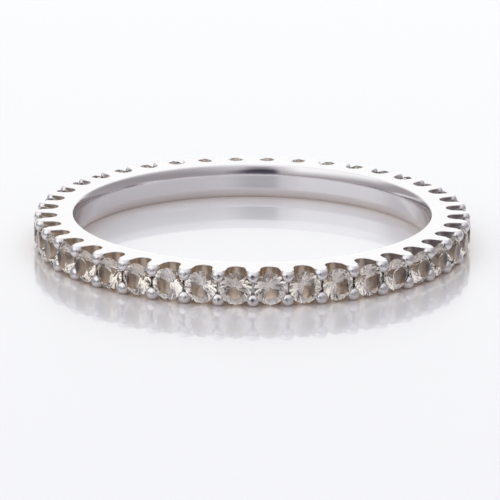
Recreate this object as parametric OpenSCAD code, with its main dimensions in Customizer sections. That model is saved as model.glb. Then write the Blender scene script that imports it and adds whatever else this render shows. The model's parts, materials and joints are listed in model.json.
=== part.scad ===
// Full eternity ring: a one-piece setting with a closed row of round brilliant
// stones, each held by prongs that it shares with its neighbours. The ring
// lies on its side face, with the finger axis upright. Sizes are in millimetres.

/* [Finger hole] */
// Diameter of the finger hole
finger_d = 16.5; // [14.5:0.5:19]
// Length of the straight stretch in the middle of the finger hole
straight_len = 0.7; // [0.4:0.05:1]
// Slope of the eased rim where it leaves the straight stretch, in degrees
ease_slope = 10; // [4:1:16]
// Radius of the curve of the eased rim
ease_r = 1.85; // [1.3:0.05:3]

/* [Stones] */
// Girdle diameter of each stone
stone_d = 1.48; // [1.3:0.02:1.7]
// Least gap between the girdles of neighbouring stones
stone_gap = 0.08; // [0.04:0.01:0.12]
// Height of the girdle band of a stone
girdle_h = 0.04; // [0.02:0.01:0.08]
// Width of the table across its corners, in percent of the girdle diameter
table_pct = 58; // [53:1:63]
// Slope of the main crown facets, in degrees
crown_angle = 34.5; // [30:0.5:37]
// Slope of the main pavilion facets, in degrees
pavilion_angle = 40.75; // [39:0.25:43]
// Reach of the star facets from the table to the girdle, in percent
star_pct = 50; // [40:1:60]
// Reach of the lower half facets from the girdle to the culet, in percent
lower_half_pct = 77; // [65:1:85]

/* [Band] */
// Metal between the finger hole and the foot of a notch
back_wall = 0.84; // [0.8:0.02:1.5]
// Air between the foot of a notch and the point of its stone
culet_gap = 0.2; // [0.04:0.01:0.3]
// How far each side face stands past the stones
rim_cover = 0.06; // [0.03:0.01:0.2]
// How far the band's outer wall lies behind the girdles
wall_drop = 0.1; // [0.08:0.01:0.3]
// Radius of the round foot of a notch
notch_r = 0.42; // [0.38:0.01:0.44]
// Width of the metal finger left between two notches, measured at the girdles
claw_w = 0.55; // [0.53:0.02:0.59]

/* [Prongs] */
// How far a prong swells past each side of its finger
prong_swell = 0.045; // [0.035:0.005:0.055]
// Depth of a prong's centre line below the side face
prong_depth = 0.26; // [0.24:0.01:0.29]
// How far a prong reaches out past the girdles
prong_reach = 0.25; // [0.21:0.01:0.3]
// Height of the domed end of a prong
prong_dome = 0.25; // [0.25:0.01:0.31]
// Air between a stone and the metal cut out for it
seat_gap = 0.02; // [0.01:0.005:0.04]

/* [Hidden] */
CUT_PAST = 1;
SMOOTH = 96;
METAL = [0.88, 0.87, 0.87];
CHAMPAGNE = [0.86, 0.80, 0.70];
// A turn between neighbours that leaves no two stones facing alike
TURN_STEP = 17.3;

// Stone sizes that follow from the cut
stone_r = stone_d / 2;
table_r = stone_r * table_pct / 100;
crown_h = (stone_r - table_r) * tan(crown_angle);
pavilion_h = stone_r * tan(pavilion_angle);

// The ring's radii, from the finger outwards
finger_r = finger_d / 2;
notch_foot_r = finger_r + back_wall;
girdle_r = notch_foot_r + culet_gap + pavilion_h + girdle_h / 2;
wall_r = girdle_r - wall_drop;
prong_r = claw_w / 2 + prong_swell;
prong_end_r = girdle_r + prong_reach;

// The band's width
band_w = stone_d + 2 * rim_cover;
mid_z = band_w / 2;

// As many stones as fit, spread evenly round the ring
stone_n = floor(180 / atan((stone_d + stone_gap) / 2 / girdle_r));
pitch = 360 / stone_n;

function two_digits(i) = str(i < 10 ? "0" : "", i);
function stone_name(i) = str("stone_", two_digits(i));
function stone_angle(i) = (i - 0.5) * pitch;

// Places its children on a spoke of the ring, with their +Z pointing outwards
module on_spoke(angle, radius, z) {
    rotate([0, 0, angle])
        translate([radius, 0, z])
            rotate([0, 90, 0])
                children();
}

// Cross-section of the bare band, with its middle at height 0
module band_profile() {
    half_w = band_w / 2;
    ease_x = finger_r + ease_r * cos(ease_slope);
    ease_z = straight_len / 2 - ease_r * sin(ease_slope);
    difference() {
        translate([finger_r, -half_w - CUT_PAST / 2])
            square([wall_r - finger_r, band_w + CUT_PAST]);
        for (side = [0, 1])
            mirror([0, side])
                difference() {
                    translate([finger_r - CUT_PAST, straight_len / 2])
                        square([ease_x - finger_r + CUT_PAST, band_w]);
                    translate([ease_x, ease_z])
                        circle(r = ease_r, $fn = SMOOTH);
                }
    }
}

// One arched notch, cut through the whole width of the band: a round foot, and
// straight sides that run from it to the fingers at the girdles
module notch(angle) {
    half = pitch / 2;
    foot_x = notch_foot_r + notch_r;
    end = [girdle_r, girdle_r * tan(half) - claw_w / 2 / cos(half)];
    run = norm([end.x - foot_x, end.y]);
    turn = atan2(end.y, end.x - foot_x) + acos(notch_r / run);
    start = [foot_x + notch_r * cos(turn), notch_r * sin(turn)];
    height = band_w + 2 * CUT_PAST;
    rotate([0, 0, angle])
        translate([0, 0, -CUT_PAST]) {
            translate([foot_x, 0, 0])
                cylinder(r = notch_r, h = height, $fn = SMOOTH);
            linear_extrude(height = height)
                polygon([[start.x, -start.y], [end.x, -end.y], end, start]);
        }
}

// Half of a prong's outline, from its root to the top of its dome
module prong_profile(length) {
    dome_r = (prong_r * prong_r + prong_dome * prong_dome) / (2 * prong_dome);
    shoulder = length - prong_dome;
    square([prong_r, shoulder]);
    intersection() {
        translate([0, length - dome_r])
            circle(r = dome_r, $fn = SMOOTH);
        translate([0, shoulder])
            square([prong_r, dome_r]);
    }
}

// A prong with a domed end on a spoke, with its centre line at height z
module prong(angle, z) {
    root_r = notch_foot_r + notch_r / 2;
    on_spoke(angle, root_r, z)
        rotate_extrude($fn = SMOOTH)
            prong_profile(prong_end_r - root_r);
}

// The upper and the lower prong between two stones
module prong_pair(angle) {
    prong(angle, prong_depth);
    prong(angle, band_w - prong_depth);
}

// The room that a stone needs: its turned outline with the seat gap round it
module seat() {
    side = stone_r + seat_gap;
    half_girdle = girdle_h / 2 + seat_gap * tan(crown_angle / 2);
    top = half_girdle + (side - table_r) * tan(crown_angle);
    rotate_extrude($fn = SMOOTH)
        polygon([
            [0, -half_girdle - side * tan(pavilion_angle)],
            [side, -half_girdle],
            [side, half_girdle],
            [table_r, top],
            [0, top]
        ]);
}

// Band and prongs, cast in one piece and cut flush with both side faces
module setting() {
    color(METAL)
        difference() {
            union() {
                difference() {
                    translate([0, 0, mid_z])
                        rotate_extrude($fn = 2 * SMOOTH)
                            band_profile();
                    for (i = [1 : stone_n])
                        notch(stone_angle(i));
                }
                for (i = [1 : stone_n])
                    prong_pair(stone_angle(i) + pitch / 2);
            }
            for (i = [1 : stone_n])
                on_spoke(stone_angle(i), girdle_r, mid_z)
                    seat();
            for (side = [0, 1])
                translate([0, 0, side * (band_w + CUT_PAST) - CUT_PAST])
                    cylinder(r = girdle_r + CUT_PAST, h = CUT_PAST, $fn = SMOOTH);
        }
}

// A ring of points round the stone's axis, level at height z
function ring_of(count, r, z, start) =
    [for (k = [0 : count - 1]) let (a = start + k * 360 / count) [r * cos(a), r * sin(a), z]];

// Round brilliant: table, stars, kites, upper halves, girdle, lower halves
// and pavilion mains, with the middle of its girdle at the origin
module brilliant(folds = 8) {
    half = 180 / folds;
    top = girdle_h / 2;
    table_side = table_r * cos(half);
    star_r = table_side + (stone_r - table_side) * star_pct / 100;
    star_z = top + (stone_r - star_r * cos(half)) * tan(crown_angle);
    lower_r = stone_r * (1 - lower_half_pct / 100);
    lower_z = -top - (stone_r - lower_r * cos(half)) * tan(pavilion_angle);

    n = folds;
    table_at = 0;
    star_at = n;
    upper_at = 2 * n;
    under_at = 4 * n;
    lower_at = 6 * n;
    culet_at = 7 * n;

    points = concat(
        ring_of(n, table_r, top + crown_h, 0),
        ring_of(n, star_r, star_z, half),
        ring_of(2 * n, stone_r, top, 0),
        ring_of(2 * n, stone_r, -top, 0),
        ring_of(n, lower_r, lower_z, half),
        [[0, 0, -top - pavilion_h]]
    );
    faces = concat(
        [[for (k = [n - 1 : -1 : 0]) table_at + k]],
        [for (k = [0 : n - 1]) [table_at + k, table_at + (k + 1) % n, star_at + k]],
        [for (k = [0 : n - 1])
            [table_at + k, star_at + k, upper_at + 2 * k, star_at + (k + n - 1) % n]],
        [for (k = [0 : n - 1])
            [star_at + k, upper_at + 2 * k + 1, upper_at + 2 * k]],
        [for (k = [0 : n - 1])
            [star_at + k, upper_at + (2 * k + 2) % (2 * n), upper_at + 2 * k + 1]],
        [for (k = [0 : 2 * n - 1]) let (next = (k + 1) % (2 * n))
            [upper_at + k, upper_at + next, under_at + next, under_at + k]],
        [for (k = [0 : n - 1])
            [lower_at + k, under_at + 2 * k, under_at + 2 * k + 1]],
        [for (k = [0 : n - 1])
            [lower_at + k, under_at + 2 * k + 1, under_at + (2 * k + 2) % (2 * n)]],
        [for (k = [0 : n - 1])
            [culet_at, lower_at + (k + n - 1) % n, under_at + 2 * k, lower_at + k]]
    );
    polyhedron(points = points, faces = faces);
}

module stone(i) {
    color(CHAMPAGNE)
        on_spoke(stone_angle(i), girdle_r, mid_z)
            rotate([0, 0, i * TURN_STEP])
                brilliant();
}

setting();
for (i = [1 : stone_n])
    stone(i);
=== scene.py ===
"""Dresses a full eternity ring: a polished white metal setting and its row of brilliants."""

import json
import logging
import math
from dataclasses import dataclass
from enum import Enum
from typing import Any

import bpy
from mathutils import Matrix, Vector

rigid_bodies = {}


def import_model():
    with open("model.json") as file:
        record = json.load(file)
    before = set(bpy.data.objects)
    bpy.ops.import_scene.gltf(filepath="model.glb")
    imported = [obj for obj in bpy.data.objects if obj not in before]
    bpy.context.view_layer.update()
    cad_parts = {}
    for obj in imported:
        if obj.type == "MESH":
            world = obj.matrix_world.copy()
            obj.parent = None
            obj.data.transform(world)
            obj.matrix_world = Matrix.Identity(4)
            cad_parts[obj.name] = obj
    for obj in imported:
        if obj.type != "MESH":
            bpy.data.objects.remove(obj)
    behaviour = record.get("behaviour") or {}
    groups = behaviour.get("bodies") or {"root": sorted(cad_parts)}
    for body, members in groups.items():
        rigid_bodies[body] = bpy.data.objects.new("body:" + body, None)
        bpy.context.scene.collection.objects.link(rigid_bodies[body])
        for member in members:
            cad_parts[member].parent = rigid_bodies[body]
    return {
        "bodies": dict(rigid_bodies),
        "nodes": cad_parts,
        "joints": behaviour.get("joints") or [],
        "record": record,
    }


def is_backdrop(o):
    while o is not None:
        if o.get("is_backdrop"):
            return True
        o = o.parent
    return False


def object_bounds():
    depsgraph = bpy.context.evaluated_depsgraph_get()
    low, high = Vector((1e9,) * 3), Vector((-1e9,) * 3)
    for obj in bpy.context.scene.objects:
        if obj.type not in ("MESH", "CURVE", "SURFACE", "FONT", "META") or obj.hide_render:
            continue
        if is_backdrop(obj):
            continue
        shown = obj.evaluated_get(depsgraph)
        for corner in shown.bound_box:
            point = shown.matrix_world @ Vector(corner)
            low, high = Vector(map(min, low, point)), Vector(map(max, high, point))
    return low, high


LOG = logging.getLogger("eternity_ring")
MM = 0.001
IMAGE_SIDE = 500
OPAQUE = 1.0

Colour = tuple[float, float, float]
Span = tuple[float, float]
Socket = bpy.types.NodeSocket
Frame = dict[str, Any]

# What a ramp gives at its two ends
RISE: Span = (0.0, 1.0)
FALL: Span = (1.0, 0.0)


class Slot(Enum):
    """The record's material slots."""

    METAL = "white_gold"
    STONE = "brilliant_stone"


class Spoke(Enum):
    """What stands on the spokes, by how many steps of the row the first is turned."""

    PRONGS = 0.0
    STONES = 0.5


class Mix(Enum):
    """What a mix node mixes: its data type, then where its two inputs and its result stand."""

    COLOURS = ("RGBA", 6, 7, 2)
    NUMBERS = ("FLOAT", 2, 3, 0)


class NodeGraph:
    """A short way to add and join the nodes of one material or world."""

    def __init__(self, tree: bpy.types.NodeTree) -> None:
        """Starts from an emptied node tree.

        Args:
            tree: The node tree to fill.
        """
        self.tree = tree
        self.tree.nodes.clear()

    def add(self, kind: str, **values: object) -> bpy.types.Node:
        """Adds one node.

        Args:
            kind: The node's type name.
            **values: Properties of the node, or values of its sockets by name,
                with an underscore for each space.

        Returns:
            The new node.
        """
        node = self.tree.nodes.new(kind)
        for name, value in values.items():
            socket = node.inputs.get(name.replace("_", " "))
            if socket is None:
                setattr(node, name, value)
            else:
                socket.default_value = value
        return node

    def feed(self, source: Socket | Colour | float, target: Socket) -> None:
        """Gives an input its source.

        Args:
            source: Another socket, a colour or a number.
            target: The input.
        """
        if isinstance(source, bpy.types.NodeSocket):
            self.tree.links.new(source, target)
        elif isinstance(source, tuple):
            target.default_value = (*source, OPAQUE)
        else:
            target.default_value = source

    def math(
        self, operation: str, first: Socket | float, second: Socket | float = 0.0
    ) -> Socket:
        """Adds a sum of one or two values.

        Args:
            operation: Blender's name of the sum.
            first: A socket or a number.
            second: A socket or a number, which a sum of one value doesn't read.

        Returns:
            The socket with the result.
        """
        node = self.add("ShaderNodeMath", operation=operation)
        self.feed(first, node.inputs[0])
        self.feed(second, node.inputs[1])
        return node.outputs[0]

    def product(self, factors: list[Socket]) -> Socket:
        """Multiplies values.

        Args:
            factors: The sockets to multiply.

        Returns:
            The socket with the result.
        """
        result = factors[0]
        for factor in factors[1:]:
            result = self.math("MULTIPLY", result, factor)
        return result

    def square_sum(self, first: Socket, second: Socket) -> Socket:
        """Adds the squares of two values."""
        squares = [self.math("MULTIPLY", value, value) for value in (first, second)]
        return self.math("ADD", *squares)

    def length(self, first: Socket, second: Socket) -> Socket:
        """Measures the slanting side over two sides at right angles."""
        return self.math("SQRT", self.square_sum(first, second))

    def ramp(self, value: Socket, span: Span, to: Span) -> Socket:
        """Maps a value from one span to another with soft ends.

        Args:
            value: The socket to map.
            span: The values where the change starts and ends.
            to: What the result is at those two values.

        Returns:
            The socket with the result.
        """
        node = self.add(
            "ShaderNodeMapRange",
            From_Min=span[0],
            From_Max=span[1],
            To_Min=to[0],
            To_Max=to[1],
            interpolation_type="SMOOTHSTEP",
        )
        self.feed(value, node.inputs["Value"])
        return node.outputs[0]

    def mix(
        self,
        kind: Mix,
        factor: Socket,
        first: Socket | Colour,
        second: Socket | Colour | float,
    ) -> Socket:
        """Mixes two colours or numbers.

        Args:
            kind: Which of the two it mixes.
            factor: 0 for the first, 1 for the second.
            first: What the factor 0 gives.
            second: What the factor 1 gives.

        Returns:
            The socket with the mixture.
        """
        data_type, first_at, second_at, result_at = kind.value
        node = self.add("ShaderNodeMix", data_type=data_type)
        self.feed(factor, node.inputs[0])
        self.feed(first, node.inputs[first_at])
        self.feed(second, node.inputs[second_at])
        return node.outputs[result_at]

    def split(self, vector: Socket) -> list[Socket]:
        """Takes a vector apart.

        Args:
            vector: The socket with the vector.

        Returns:
            The sockets with its X, Y and Z.
        """
        node = self.add("ShaderNodeSeparateXYZ")
        self.feed(vector, node.inputs[0])
        return list(node.outputs)

    def place(self) -> Socket:
        """Gives the point on the object, in metres."""
        return self.add("ShaderNodeTexCoord").outputs["Object"]


@dataclass(frozen=True)
class Noise:
    """A cloudy pattern: its lumps to a metre, and how fine and how rough its detail is."""

    scale: float
    detail: float
    roughness: float

    def factor(self, graph: NodeGraph, place: Socket) -> Socket:
        """Adds the pattern.

        Args:
            graph: The material's nodes.
            place: The point where it is read.

        Returns:
            The pattern's value, from 0 to 1.
        """
        node = graph.add(
            "ShaderNodeTexNoise",
            Scale=self.scale,
            Detail=self.detail,
            Roughness=self.roughness,
        )
        graph.feed(place, node.inputs["Vector"])
        return node.outputs["Fac"]


@dataclass(frozen=True)
class Openness:
    """Tells a tight gap from an open face by what stands within reach; both of its uses paint
    shade.
    """

    reach: float
    span: Span
    samples: int

    def factor(self, graph: NodeGraph) -> Socket:
        """Adds the measure.

        Args:
            graph: The material's nodes.

        Returns:
            A factor that is 0 in a tight gap and 1 in the open.
        """
        node = graph.add(
            "ShaderNodeAmbientOcclusion", samples=self.samples, Distance=self.reach
        )
        return graph.ramp(node.outputs["AO"], self.span, RISE)


@dataclass(frozen=True)
class RowPlace:
    """Finds where a point lies from the nearest spoke of the ring's evenly spaced row."""

    count: int = 40
    middle: float = 0.8 * MM

    def sockets(self, graph: NodeGraph, spoke: Spoke) -> tuple[Socket, Socket, Socket]:
        """Adds the nodes that measure from the nearest spoke.

        Args:
            graph: The material's nodes.
            spoke: Which spokes to measure from.

        Returns:
            The distance across the spoke, the radius, and the height over the ring's middle.
        """
        pitch = math.tau / self.count
        x, y, z = graph.split(graph.place())
        radius = graph.length(x, y)
        steps = graph.math("DIVIDE", graph.math("ARCTAN2", y, x), pitch)
        steps = graph.math("SUBTRACT", steps, spoke.value)
        part = graph.math("SUBTRACT", steps, graph.math("ROUND", steps))
        across = graph.math("MULTIPLY", graph.math("MULTIPLY", part, pitch), radius)
        return across, radius, graph.math("SUBTRACT", z, self.middle)


@dataclass(frozen=True)
class NotchWall:
    """The cut metal inside the notches, where no buff reaches."""

    unplated: Colour = (0.825, 0.725, 0.635)
    grained: Colour = (0.69, 0.585, 0.495)
    grain: Noise = Noise(scale=7000.0, detail=3.0, roughness=0.7)
    grain_stretch: float = 0.05
    grain_span: Span = (0.35, 0.65)
    # Painted shade: the upper notch walls on the right-hand side turn darker and purplish
    side_shade_colour: Colour = (0.53, 0.485, 0.515)
    side_shade_across: Span = (1.0 * MM, 8.5 * MM)
    side_shade_up: Span = (0.8 * MM, 1.25 * MM)
    # Painted light: the notch walls towards the back turn lighter and bluer
    back_light_colour: Colour = (0.93, 0.93, 0.97)
    back_light_span: Span = (1.5 * MM, 6.5 * MM)
    satin: float = 0.34
    from_radius: float = 9.0 * MM
    to_radius: float = 9.83 * MM
    width: float = 1.6 * MM
    fade: float = 0.04 * MM

    def colour(self, graph: NodeGraph, place: Socket) -> Socket:
        """Colours the cutter's upright grain, paints shade on the upper notch walls on the
        right-hand side, and paints light, lighter and bluer, on the notch walls towards the
        back.

        Args:
            graph: The material's nodes.
            place: The point on the metal.

        Returns:
            The colour inside the notches.
        """
        stretched = graph.add("ShaderNodeVectorMath", operation="MULTIPLY")
        stretched.inputs[1].default_value = (1.0, 1.0, self.grain_stretch)
        graph.feed(place, stretched.inputs[0])
        grain = self.grain.factor(graph, stretched.outputs[0])
        grained = graph.ramp(grain, self.grain_span, RISE)
        cut = graph.mix(Mix.COLOURS, grained, self.unplated, self.grained)
        x, y, z = graph.split(place)
        # Painted shade, growing towards the right-hand side and upwards
        side_shaded = graph.math(
            "MULTIPLY",
            graph.ramp(x, self.side_shade_across, RISE),
            graph.ramp(z, self.side_shade_up, RISE),
        )
        with_side_shade = graph.mix(Mix.COLOURS, side_shaded, cut, self.side_shade_colour)
        # Painted light on the notch walls towards the back
        return graph.mix(Mix.COLOURS, graph.ramp(y, self.back_light_span, RISE), with_side_shade, self.back_light_colour)

    def mask(self, graph: NodeGraph, place: Socket) -> Socket:
        """Finds the metal in the notches and behind the stones.

        Args:
            graph: The material's nodes.
            place: The point on the metal.

        Returns:
            A factor that is 1 inside the notches and 0 on the open faces.
        """
        x, y, height = graph.split(place)
        radius = graph.length(x, y)
        half_fade = self.fade / 2
        return graph.product(
            [
                graph.ramp(radius, (self.from_radius, self.from_radius + self.fade), RISE),
                graph.ramp(radius, (self.to_radius - self.fade, self.to_radius), FALL),
                graph.ramp(height, (half_fade, self.fade), RISE),
                graph.ramp(height, (self.width - self.fade, self.width - half_fade), FALL),
            ]
        )


@dataclass(frozen=True)
class BurnishedSpot:
    """The nearly flat spot on the domed end of each prong, a little above its middle."""

    half_width: float = 0.2 * MM
    lift: float = 0.083 * MM
    share: float = 0.72
    prong_height: float = 0.54 * MM
    dome_radius: float = 0.33 * MM
    from_radius: float = 9.9 * MM

    def relief(self, graph: NodeGraph) -> Socket:
        """Takes a share of the dome's bend away in the middle of each spot.

        Args:
            graph: The material's nodes.

        Returns:
            The relief in metres, level everywhere but on the spots.
        """
        across, radius, height = RowPlace().sockets(graph, Spoke.PRONGS)
        prong = graph.math("MULTIPLY", graph.math("SIGN", height), self.prong_height)
        up = graph.math("SUBTRACT", graph.math("SUBTRACT", height, prong), self.lift)
        part = graph.math("DIVIDE", graph.square_sum(across, up), self.half_width**2)
        off_dome = graph.math("LESS_THAN", radius, self.from_radius)
        part = graph.math("MINIMUM", graph.math("ADD", part, off_dome), 1.0)
        # Twice as steep in the middle as on average, and level at the spot's edge
        rise = graph.math("MULTIPLY", part, graph.math("SUBTRACT", 2.0, part))
        dome_fall = self.half_width**2 / (2 * self.dome_radius)
        return graph.math("MULTIPLY", rise, self.share * dome_fall / 2)


@dataclass(frozen=True)
class PolishedMetal:
    """Hand-polished white gold: bright and a little wavy outside, satin inside its notches."""

    name: str = "polished_white_gold"
    colour: Colour = (0.80, 0.782, 0.795)
    worn_colour: Colour = (0.77, 0.75, 0.76)
    haze: Noise = Noise(scale=1400.0, detail=4.0, roughness=0.6)
    haze_span: Span = (0.4, 0.75)
    haze_roughness: Span = (0.02, 0.07)
    wave: Noise = Noise(scale=1900.0, detail=1.0, roughness=0.4)
    wave_height: float = 0.0016 * MM
    # Painted shade: the tight gaps between band, prongs and stones turn dark brown, but not at
    # the foot by the sheet
    crevice_shade: Openness = Openness(reach=0.14 * MM, span=(0.25, 0.75), samples=6)
    crevice_shade_colour: Colour = (0.22, 0.18, 0.16)
    crevice_shade_from: Span = (0.1 * MM, 0.35 * MM)
    edge_radius: float = 0.05 * MM
    bore_edge_radius: float = 0.16 * MM
    bore_span: Span = (8.43 * MM, 8.65 * MM)
    edge_samples: int = 8
    notch: NotchWall = NotchWall()
    spot: BurnishedSpot = BurnishedSpot()

    def material(self) -> bpy.types.Material:
        """Builds the metal.

        Returns:
            The finished material.
        """
        material = bpy.data.materials.new(self.name)
        material.use_nodes = True
        graph = NodeGraph(material.node_tree)
        out = graph.add("ShaderNodeOutputMaterial")
        shader = graph.add("ShaderNodeBsdfPrincipled", Metallic=1.0)
        place = graph.place()
        haze = self.haze.factor(graph, place)
        inside = self.notch.mask(graph, place)
        polished = graph.mix(Mix.COLOURS, haze, self.colour, self.worn_colour)
        # The metal's own colour, with the painted shade and painted light of the notches
        alloy_and_notch_light = graph.mix(Mix.COLOURS, inside, polished, self.notch.colour(graph, place))
        # Painted shade in the tight gaps
        graph.feed(self.paint_gap_shade(graph, place, alloy_and_notch_light), shader.inputs["Base Color"])
        buffed = graph.ramp(haze, self.haze_span, self.haze_roughness)
        rough = graph.mix(Mix.NUMBERS, inside, buffed, self.notch.satin)
        graph.feed(rough, shader.inputs["Roughness"])
        graph.feed(self.surface(graph, place), shader.inputs["Normal"])
        graph.feed(shader.outputs["BSDF"], out.inputs["Surface"])
        return material

    def paint_gap_shade(self, graph: NodeGraph, place: Socket, alloy_and_notch_light: Socket) -> Socket:
        """Paints shade into the tight gaps, but not next to the sheet that the ring lies on.

        Args:
            graph: The material's nodes.
            place: The point on the metal.
            alloy_and_notch_light: The metal's own colour, with the painted shade and painted
                light in its notches.

        Returns:
            The colour with painted shade in its gaps.
        """
        _, _, height = graph.split(place)
        low = graph.ramp(height, self.crevice_shade_from, FALL)
        unshaded = graph.math("MAXIMUM", self.crevice_shade.factor(graph), low)
        return graph.mix(Mix.COLOURS, unshaded, self.crevice_shade_colour, alloy_and_notch_light)

    def surface(self, graph: NodeGraph, place: Socket) -> Socket:
        """Breaks the edges, most round the finger hole, and adds the waves and the spots.

        Args:
            graph: The material's nodes.
            place: The point on the metal.

        Returns:
            The normal to shade with.
        """
        x, y, _ = graph.split(place)
        edge_radii = (self.bore_edge_radius, self.edge_radius)
        edge = graph.add("ShaderNodeBevel", samples=self.edge_samples)
        graph.feed(
            graph.ramp(graph.length(x, y), self.bore_span, edge_radii), edge.inputs["Radius"]
        )
        normal = edge.outputs["Normal"]
        for height, depth in (
            (self.wave.factor(graph, place), self.wave_height),
            (self.spot.relief(graph), 1.0),
        ):
            bump = graph.add("ShaderNodeBump", Distance=depth, Strength=1.0)
            graph.feed(height, bump.inputs["Height"])
            graph.feed(normal, bump.inputs["Normal"])
            normal = bump.outputs["Normal"]
        return normal


@dataclass(frozen=True)
class Brilliant:
    """A clear stone with a light champagne tint that differs a little from stone to stone.

    Its index of refraction is a low one, so that the tables show the metal behind the stones.
    """

    name: str = "champagne_brilliant"
    pale: Colour = (0.935, 0.893, 0.838)
    deep: Colour = (0.875, 0.812, 0.728)
    ior: float = 1.66
    bruted_colour: Colour = (0.40, 0.37, 0.35)
    bruted_rough: float = 0.5
    girdle_span: Span = (0.728 * MM, 0.736 * MM)

    def material(self) -> bpy.types.Material:
        """Builds the stone's material, clear with a matt girdle.

        Returns:
            The finished material.
        """
        material = bpy.data.materials.new(self.name)
        material.use_nodes = True
        graph = NodeGraph(material.node_tree)
        out = graph.add("ShaderNodeOutputMaterial")
        shader = graph.add("ShaderNodeBsdfPrincipled", IOR=self.ior, Transmission_Weight=1.0)
        chance = graph.add("ShaderNodeObjectInfo").outputs["Random"]
        tint = graph.mix(Mix.COLOURS, chance, self.pale, self.deep)
        across, _, height = RowPlace().sockets(graph, Spoke.STONES)
        girdle = graph.ramp(graph.length(across, height), self.girdle_span, RISE)
        colour = graph.mix(Mix.COLOURS, girdle, tint, self.bruted_colour)
        rough = graph.math("MULTIPLY", girdle, self.bruted_rough)
        graph.feed(colour, shader.inputs["Base Color"])
        graph.feed(rough, shader.inputs["Roughness"])
        graph.feed(shader.outputs["BSDF"], out.inputs["Surface"])
        return material


@dataclass(frozen=True)
class GlossySheet:
    """The pale, mirror-smooth sheet under the ring, with a painted shadow, darker and warmer,
    where the ring stands close.
    """

    name: str = "pale_gloss_sheet"
    colour: Colour = (0.838, 0.839, 0.866)
    # Painted shadow: the colour that the sheet turns to where the ring stands close
    contact_shadow_colour: Colour = (0.70, 0.61, 0.565)
    contact_shadow: Openness = Openness(reach=2.2 * MM, span=(0.25, 0.97), samples=8)
    roughness: float = 0.25
    coat_roughness: float = 0.028
    ior: float = 1.5

    def material(self) -> bpy.types.Material:
        """Builds the sheet's material.

        Returns:
            The finished material.
        """
        material = bpy.data.materials.new(self.name)
        material.use_nodes = True
        graph = NodeGraph(material.node_tree)
        out = graph.add("ShaderNodeOutputMaterial")
        shader = graph.add(
            "ShaderNodeBsdfPrincipled",
            Roughness=self.roughness,
            IOR=self.ior,
            Coat_Weight=1.0,
            Coat_Roughness=self.coat_roughness,
            Coat_IOR=self.ior,
        )
        # Painted shadow round the ring's foot
        unshadowed = self.contact_shadow.factor(graph)
        tint = graph.mix(Mix.COLOURS, unshadowed, self.contact_shadow_colour, self.colour)
        graph.feed(tint, shader.inputs["Base Color"])
        graph.feed(shader.outputs["BSDF"], out.inputs["Surface"])
        return material


@dataclass(frozen=True)
class SubAssembly:
    """The CAD nodes of one material slot, and the finish that they get."""

    slot: Slot
    finish: PolishedMetal | Brilliant

    def dress(self, frame: Frame) -> None:
        """Gives each node the finish and reports it.

        Args:
            frame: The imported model, as loaded.
        """
        material = self.finish.material()
        for row in frame["record"]["subparts"]:
            if row["material_slot"] == self.slot.value:
                slots = frame["nodes"][row["node"]].data.materials
                slots.clear()
                slots.append(material)
                LOG.info("%s: %s", row["node"], material.name)


@dataclass
class PhotoCamera:
    """The long lens that looks at the ring from a little above.

    The target's place in the picture is in pixels, and lens and sensor are in millimetres.
    """

    target: Vector
    name: str = "photo_camera"
    distance: float = 209.0 * MM
    elevation: float = math.radians(15.9)
    azimuth: float = math.radians(-0.28)
    roll: float = math.radians(0.30)
    lens: float = 322.1
    sensor: float = 36.0
    target_x: float = 252.2
    target_y: float = 227.9
    clip: Span = (2.0 * MM, 20.0)

    def build(self) -> None:
        """Places the camera and makes it the scene's."""
        data = bpy.data.cameras.new(self.name)
        data.lens = self.lens
        data.sensor_width = self.sensor
        data.shift_x = (IMAGE_SIDE / 2 - self.target_x) / IMAGE_SIDE
        data.shift_y = (self.target_y - IMAGE_SIDE / 2) / IMAGE_SIDE
        data.clip_start, data.clip_end = self.clip
        camera = bpy.data.objects.new(self.name, data)
        bpy.context.scene.collection.objects.link(camera)
        level = math.cos(self.elevation)
        back = Vector(
            (
                math.sin(self.azimuth) * level,
                -math.cos(self.azimuth) * level,
                math.sin(self.elevation),
            )
        )
        place = Matrix.Translation(self.target + back * self.distance)
        turn = (-back).to_track_quat("-Z", "Y").to_matrix().to_4x4()
        camera.matrix_world = place @ turn @ Matrix.Rotation(self.roll, 4, "Z")
        bpy.context.scene.camera = camera
        LOG.info("%s: %.0f mm away", self.name, self.distance / MM)


@dataclass(frozen=True)
class Patch:
    """A soft-edged patch of directions, in degrees of bearing from the lens and of climb."""

    bearing: float
    half_width: float
    edge: float
    rise: Span
    fall: Span

    def factor(self, graph: NodeGraph, bearing: Socket, climb: Socket) -> Socket:
        """Marks the patch.

        Args:
            graph: The world's nodes.
            bearing: The direction's bearing, in radians.
            climb: The direction's angle above the horizon, in radians.

        Returns:
            A factor that is 1 in the patch and 0 outside it.
        """
        turned = graph.math("SUBTRACT", bearing, math.radians(self.bearing))
        away = graph.math("PINGPONG", turned, math.pi)
        sides = (self.half_width - self.edge, self.half_width + self.edge)
        return graph.product(
            [
                graph.ramp(away, radians(sides), FALL),
                graph.ramp(climb, radians(self.rise), RISE),
                graph.ramp(climb, radians(self.fall), FALL),
            ]
        )


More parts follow.
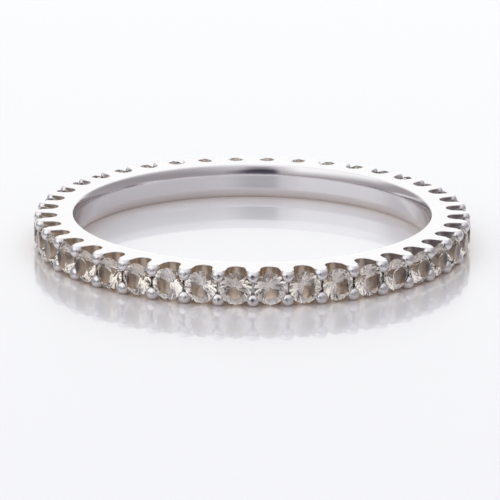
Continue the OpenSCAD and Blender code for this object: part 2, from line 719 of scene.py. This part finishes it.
@dataclass(frozen=True)
class LensOval:
    """The dark oval round the camera's lens, in degrees, cut off on one side."""

    bearing: float = -8.0
    climb: float = 13.0
    half_width: float = 20.0
    half_height: float = 9.5
    fade: Span = (0.45, 1.25)
    cut: Span = (-20.0, -13.0)
    colour: Colour = (0.055, 0.053, 0.08)
    share: float = 0.85

    def factor(self, graph: NodeGraph, bearing: Socket, climb: Socket) -> Socket:
        """Marks the oval.

        Args:
            graph: The world's nodes.
            bearing: The direction's bearing, in radians.
            climb: The direction's angle above the horizon, in radians.

        Returns:
            How much of the light the oval takes, from 0 outside it to its share.
        """
        sides = (
            (bearing, self.bearing, self.half_width),
            (climb, self.climb, self.half_height),
        )
        scaled = []
        for value, middle, half in sides:
            away = graph.math("SUBTRACT", value, math.radians(middle))
            scaled.append(graph.math("DIVIDE", away, math.radians(half)))
        oval = graph.ramp(graph.length(*scaled), self.fade, FALL)
        cut = graph.ramp(bearing, radians(self.cut), RISE)
        return graph.math("MULTIPLY", graph.math("MULTIPLY", oval, cut), self.share)


def radians(span: Span) -> Span:
    """Turns a span of degrees into radians."""
    return (math.radians(span[0]), math.radians(span[1]))


@dataclass(frozen=True)
class Studio:
    """The pale sheet and the soft surrounding light.

    The room grows lighter upwards, over a span given in sines of the climb.
    """

    sheet_half: float = 3.0
    tent_colour: Colour = (1.185, 1.195, 1.19)
    room_colour: Colour = (0.41, 0.385, 0.405)
    high_room_colour: Colour = (0.98, 0.97, 1.01)
    room_rise: Span = (0.12, 0.75)
    sweep: Patch = Patch(
        bearing=180.0, half_width=40.0, edge=14.0, rise=(-30.0, -20.0), fall=(72.0, 86.0)
    )
    side_panel: Patch = Patch(
        bearing=-62.0, half_width=37.0, edge=12.0, rise=(5.0, 25.0), fall=(53.0, 72.0)
    )
    lens: LensOval = LensOval()
    opening: Patch = Patch(
        bearing=-0.7, half_width=17.6, edge=2.0, rise=(4.0, 10.0), fall=(13.0, 21.0)
    )
    opening_shade: float = 0.2
    halo: Patch = Patch(
        bearing=-5.0, half_width=9.0, edge=6.0, rise=(12.0, 17.0), fall=(22.0, 36.0)
    )
    halo_shade: float = 0.45
    right_side: Patch = Patch(
        bearing=75.0, half_width=45.0, edge=18.0, rise=(4.0, 16.0), fall=(45.0, 65.0)
    )
    right_shade: float = 0.22

    def build(self) -> None:
        """Makes the sheet and the light round it."""
        self.build_sheet()
        self.build_light()

    def build_sheet(self) -> None:
        """Lays the sheet at the ring's resting height."""
        s = self.sheet_half
        mesh = bpy.data.meshes.new("pale_sheet")
        mesh.from_pydata([(-s, -s, 0), (s, -s, 0), (s, s, 0), (-s, s, 0)], [], [(0, 1, 2, 3)])
        mesh.materials.append(GlossySheet().material())
        floor = bpy.data.objects.new("pale_sheet", mesh)
        bpy.context.scene.collection.objects.link(floor)
        floor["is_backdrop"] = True
        LOG.info("%s: %s", floor.name, mesh.materials[0].name)

    def build_light(self) -> None:
        """Fills the world with soft light: a white sweep, a side panel and a greyer room."""
        world = bpy.data.worlds.new("soft_tent")
        bpy.context.scene.world = world
        world.use_nodes = True
        graph = NodeGraph(world.node_tree)
        out = graph.add("ShaderNodeOutputWorld")
        light = graph.add("ShaderNodeBackground")
        x, y, z = graph.split(graph.add("ShaderNodeTexCoord").outputs["Generated"])
        bearing = graph.math("ARCTAN2", x, graph.math("MULTIPLY", y, -1.0))
        climb = graph.math("ARCSINE", z)
        patches = (self.sweep, self.side_panel, self.opening, self.halo, self.right_side)
        sweep, panel, opening, halo, right_side = (
            patch.factor(graph, bearing, climb) for patch in patches
        )
        height = graph.ramp(z, self.room_rise, RISE)
        room = graph.mix(Mix.COLOURS, height, self.room_colour, self.high_room_colour)
        lit = graph.math("MAXIMUM", sweep, panel)
        tent = graph.mix(Mix.COLOURS, lit, room, self.tent_colour)
        oval = self.lens.factor(graph, bearing, climb)
        graph.feed(graph.mix(Mix.COLOURS, oval, tent, self.lens.colour), light.inputs["Color"])
        shades = (
            (opening, self.opening_shade),
            (halo, self.halo_shade),
            (right_side, self.right_shade),
        )
        left = [
            graph.math("SUBTRACT", 1.0, graph.math("MULTIPLY", patch, shade))
            for patch, shade in shades
        ]
        graph.feed(graph.product(left), light.inputs["Strength"])
        graph.feed(light.outputs[0], out.inputs["Surface"])
        LOG.info("%s: white sweep, side panel and room", world.name)


@dataclass(frozen=True)
class LightPaths:
    """How colours are shown, and how often light may turn on its way through the stones."""

    view_transform: str = "Standard"
    total: int = 16
    transmission: int = 12
    glossy: int = 8

    def apply(self) -> None:
        """Sets the scene's colour view and bounces."""
        scene = bpy.context.scene
        scene.view_settings.view_transform = self.view_transform
        scene.cycles.max_bounces = self.total
        scene.cycles.transmission_bounces = self.transmission
        scene.cycles.glossy_bounces = self.glossy


def main(frame: Frame) -> None:
    """Builds the scene in order.

    Args:
        frame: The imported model, as loaded.
    """
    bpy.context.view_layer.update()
    lo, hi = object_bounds()
    SubAssembly(Slot.METAL, PolishedMetal()).dress(frame)
    SubAssembly(Slot.STONE, Brilliant()).dress(frame)
    Studio().build()
    PhotoCamera(target=(lo + hi) / 2).build()
    LightPaths().apply()


if __name__ == "__main__":
    logging.basicConfig(level=logging.INFO, format="%(name)s: %(message)s")
    main(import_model())
